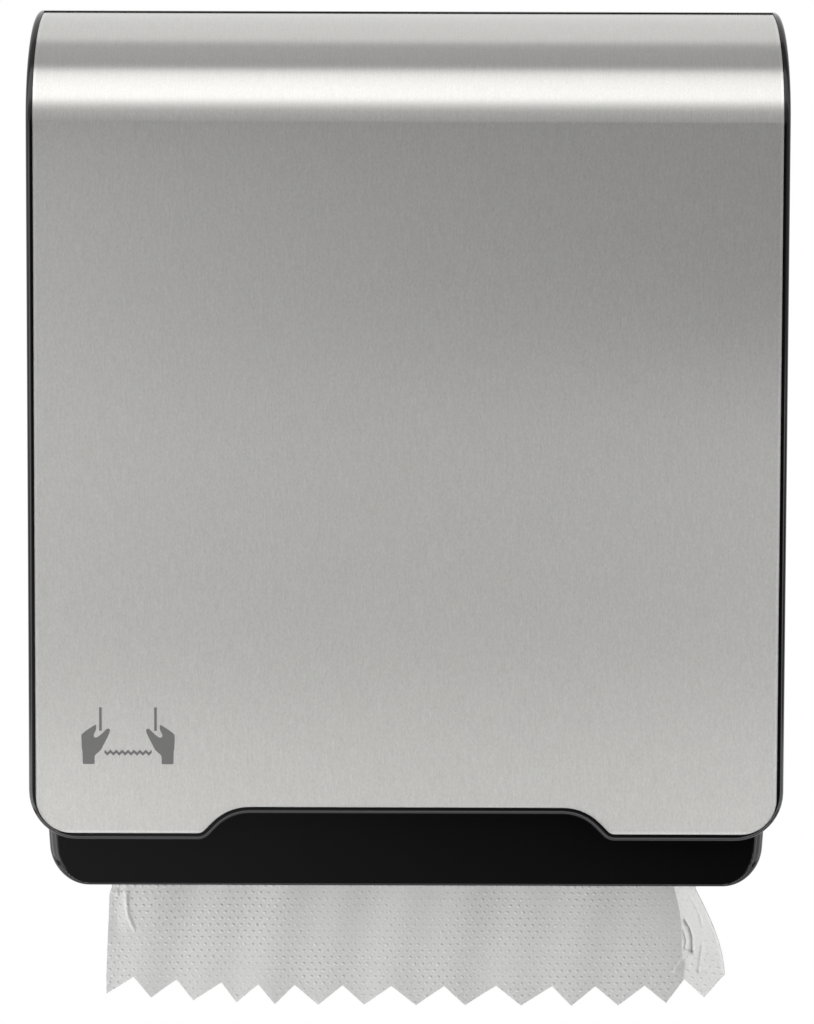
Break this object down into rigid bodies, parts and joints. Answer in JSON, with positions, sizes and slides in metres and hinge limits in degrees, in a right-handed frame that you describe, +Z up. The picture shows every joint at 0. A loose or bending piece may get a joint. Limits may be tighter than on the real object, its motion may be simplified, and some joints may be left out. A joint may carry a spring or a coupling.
{
  "type": "autocut roll towel dispenser",
  "caption": "Wall cabinet with a steel-skinned tilting cover; pulling the paper tail turns a drum that cuts and feeds the next towel.",
  "frame": {"origin": "middle of the four wall screw holes on the back face, which lies on the wall", "axes": "+X to the right seen from the front, the front faces -Y and the wall is at Y = 0, +Z up"},
  "size_m": [0.32, 0.218, 0.4332],
  "materials": {
    "black_plastic": "gloss",
    "housing_plastic": "satin",
    "brushed_steel": "brushed",
    "plated_steel": "satin",
    "bright_steel": "polished",
    "zinc_casting": "polished",
    "grey_plastic": "matte",
    "light_plastic": "matte",
    "green_plastic": "satin",
    "black_rubber": "matte",
    "spring_steel": "satin",
    "towel_paper": "matte",
    "cardboard": "matte"
  },
  "bodies": {
    "housing": {"rear_housing": "housing_plastic", "chin_shroud": "black_plastic", "hinge_pin_left": "plated_steel", "hinge_pin_right": "plated_steel", "lock_striker": "plated_steel", "side_frame_left": "plated_steel", "side_frame_right": "plated_steel", "tie_rods": "plated_steel", "frame_screws": "bright_steel", "paper_guide": "light_plastic", "drum_bush_left": "light_plastic", "drum_bush_right": "light_plastic", "knife_cam_left": "light_plastic", "knife_cam_right": "light_plastic", "pawl_stud": "plated_steel", "spring_post": "plated_steel", "return_spring": "spring_steel", "spring_cap": "grey_plastic", "cap_screws": "bright_steel", "spring_bar": "plated_steel", "pressure_pivot_rod": "plated_steel", "pressure_springs": "spring_steel", "roll_arm_left": "grey_plastic", "roll_arm_bracket": "plated_steel", "arm_pivot_pin": "plated_steel", "arm_spring": "spring_steel", "towel_web": "towel_paper", "towel_tail": "towel_paper"},
    "cover": {"front_cover": "black_plastic", "steel_panel": "brushed_steel", "lock_barrel": "zinc_casting", "lock_nut": "plated_steel"},
    "lock": {"lock_core": "zinc_casting", "lock_cam": "plated_steel", "lock_cam_screw": "bright_steel"},
    "drum": {"drum_shell_front": "grey_plastic", "drum_shell_rear": "grey_plastic", "drum_end_left": "grey_plastic", "drum_end_right": "grey_plastic", "drum_screws": "bright_steel", "grip_bands": "black_rubber", "drum_axle": "bright_steel", "crank_disc": "grey_plastic", "crank_screw": "bright_steel", "ratchet_wheel": "grey_plastic", "feed_knob": "green_plastic"},
    "knife": {"knife_bar": "grey_plastic", "knife_blade": "bright_steel", "blade_screws": "bright_steel", "knife_followers": "light_plastic"},
    "pawl": {"pawl": "light_plastic"},
    "pressure_bracket": {"pressure_bracket": "plated_steel"},
    "pressure_roller": {"pressure_shaft": "bright_steel", "pressure_sleeves": "black_rubber"},
    "right_arm": {"roll_arm_right": "grey_plastic"},
    "right_hub": {"hub_right": "light_plastic"},
    "roll": {"paper_roll": "towel_paper", "roll_core": "cardboard", "hub_left": "light_plastic"}
  },
  "joints": [
    {"name": "cover_hinge", "type": "hinge", "parent": "housing", "child": "cover", "pos_m": [0, -0.038, -0.154], "axis": [1, 0, 0], "range_deg": [0, 95]},
    {"name": "lock_turn", "type": "hinge", "parent": "cover", "child": "lock", "pos_m": [0, -0.046, 0.18], "axis": [0, 0, -1], "range_deg": [0, 90]},
    {"name": "drum_spin", "type": "hinge", "parent": "housing", "child": "drum", "pos_m": [0, -0.15, -0.125], "axis": [-1, 0, 0], "continuous": true, "deforming": ["return_spring"]},
    {"name": "knife_slide", "type": "slide", "parent": "drum", "child": "knife", "axis": [0, -0.7071, 0.7071], "range_m": [0, 0.012], "deforming": ["towel_web"]},
    {"name": "pressure_bracket_swing", "type": "hinge", "parent": "housing", "child": "pressure_bracket", "pos_m": [0, -0.096, -0.088], "axis": [1, 0, 0], "range_deg": [0, 8], "stiffness_Nm_per_rad": 5, "springref_deg": -5.73, "deforming": ["pressure_springs"]},
    {"name": "pressure_roller_spin", "type": "hinge", "parent": "pressure_bracket", "child": "pressure_roller", "pos_m": [0, -0.10253, -0.11663], "axis": [1, 0, 0], "continuous": true},
    {"name": "roll_spin", "type": "hinge", "parent": "housing", "child": "roll", "pos_m": [0, -0.112, 0.058], "axis": [1, 0, 0], "continuous": true},
    {"name": "roll_arm_swing", "type": "hinge", "parent": "housing", "child": "right_arm", "pos_m": [0.1335, -0.014, 0.058], "axis": [0, 0, 1], "range_deg": [0, 10], "stiffness_Nm_per_rad": 1, "springref_deg": -22.92, "deforming": ["arm_spring"]},
    {"name": "right_hub_spin", "type": "hinge", "parent": "right_arm", "child": "right_hub", "pos_m": [0, -0.112, 0.058], "axis": [1, 0, 0], "continuous": true},
    {"name": "pawl_swing", "type": "hinge", "parent": "housing", "child": "pawl", "pos_m": [0.143, -0.17, -0.103], "axis": [1, 0, 0], "range_deg": [-8.5, 12]}
  ],
  "couplings": [
    {"joint": "roll_spin", "follows": "drum_spin", "ratio": 0.42312},
    {"joint": "right_hub_spin", "follows": "drum_spin", "ratio": 0.42312},
    {"joint": "pressure_roller_spin", "follows": "drum_spin", "ratio": 4.3111}
  ]
}
